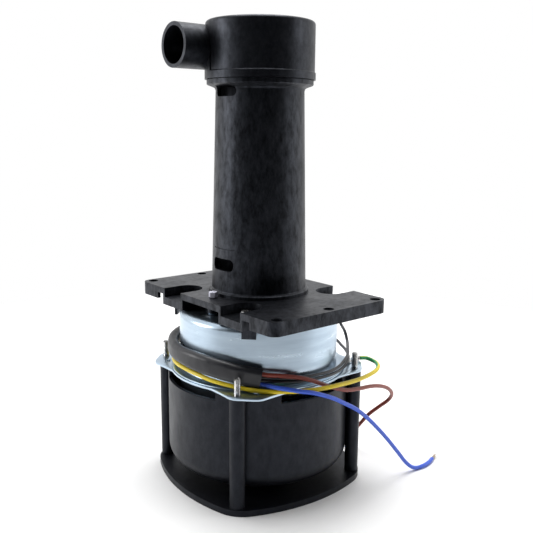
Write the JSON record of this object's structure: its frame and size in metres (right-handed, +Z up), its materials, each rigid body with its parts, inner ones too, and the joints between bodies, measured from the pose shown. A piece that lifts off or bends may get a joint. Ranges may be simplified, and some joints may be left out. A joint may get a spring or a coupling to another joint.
{
  "type": "vertical column water pump",
  "caption": "Upright motor-driven water pump: vented motor cap, round motor, mounting plate, hollow shaft column and a pump head with side spout.",
  "frame": {"origin": "on the shaft axis at the underside of the motor cap, which is the face the pump stands on", "axes": "+Z up the shaft from the motor cap to the pump head, -X along the spout, the mounting plate's long side along Y"},
  "size_m": [0.1687, 0.1443, 0.29],
  "materials": {
    "black_plastic": "satin glass-filled moulding",
    "zinc_sheet": "bright zinc-plated drawn sheet",
    "bright_steel": "bright plated steel",
    "lamination": "bare electrical steel",
    "copper": "enamelled copper",
    "rubber": "matt black rubber",
    "sleeve_pvc": "soft black PVC tube",
    "blue_pvc": "smooth wire insulation",
    "brown_pvc": "smooth wire insulation",
    "earth_pvc": "yellow wire insulation with a green stripe",
    "grey_pvc": "thin grey lead insulation",
    "tinned_copper": "bare tinned strands"
  },
  "bodies": {
    "housing": {"blue_wire": "blue_pvc", "blue_wire_strands": "tinned_copper", "brown_wire": "brown_pvc", "brown_wire_strands": "tinned_copper", "earth_eyelet": "bright_steel", "earth_rivet": "bright_steel", "earth_wire": "earth_pvc", "earth_wire_strands": "tinned_copper", "hex_screw_1": "bright_steel", "hex_screw_2": "bright_steel", "lead_sleeve": "sleeve_pvc", "lower_bearing_outer_race": "bright_steel", "lower_grey_lead": "grey_pvc", "lower_motor_shell": "zinc_sheet", "lower_winding": "copper", "motor_cap": "black_plastic", "plate_spacer_1": "zinc_sheet", "plate_spacer_2": "zinc_sheet", "pocket_screw_1": "bright_steel", "pocket_screw_2": "bright_steel", "pocket_screw_3": "bright_steel", "pocket_screw_4": "bright_steel", "preload_washer": "bright_steel", "pump_column": "black_plastic", "pump_head": "black_plastic", "shell_stud_1": "bright_steel", "shell_stud_2": "bright_steel", "shell_stud_3": "bright_steel", "shell_stud_4": "bright_steel", "side_grommet": "rubber", "stator_core": "lamination", "top_grommet": "rubber", "upper_bearing_outer_race": "bright_steel", "upper_grey_lead": "grey_pvc", "upper_motor_shell": "zinc_sheet", "upper_winding": "copper"},
    "rotor": {"motor_shaft": "bright_steel", "rotor_core": "lamination", "impeller": "black_plastic", "impeller_nut": "bright_steel", "shaft_slinger": "rubber", "lower_bearing_inner_race": "bright_steel", "upper_bearing_inner_race": "bright_steel"},
    "lower_balls": {"lower_bearing_balls": "bright_steel"},
    "upper_balls": {"upper_bearing_balls": "bright_steel"}
  },
  "joints": [
    {"name": "shaft_spin", "type": "hinge", "parent": "housing", "child": "rotor", "pos_m": [0, 0, 0.06], "axis": [0, 0, 1], "continuous": true},
    {"name": "lower_balls_spin", "type": "hinge", "parent": "housing", "child": "lower_balls", "pos_m": [0, 0, 0.0133], "axis": [0, 0, 1], "continuous": true},
    {"name": "upper_balls_spin", "type": "hinge", "parent": "housing", "child": "upper_balls", "pos_m": [0, 0, 0.113], "axis": [0, 0, 1], "continuous": true}
  ],
  "couplings": [
    {"joint": "lower_balls_spin", "follows": "shaft_spin", "ratio": 0.37},
    {"joint": "upper_balls_spin", "follows": "shaft_spin", "ratio": 0.37}
  ]
}
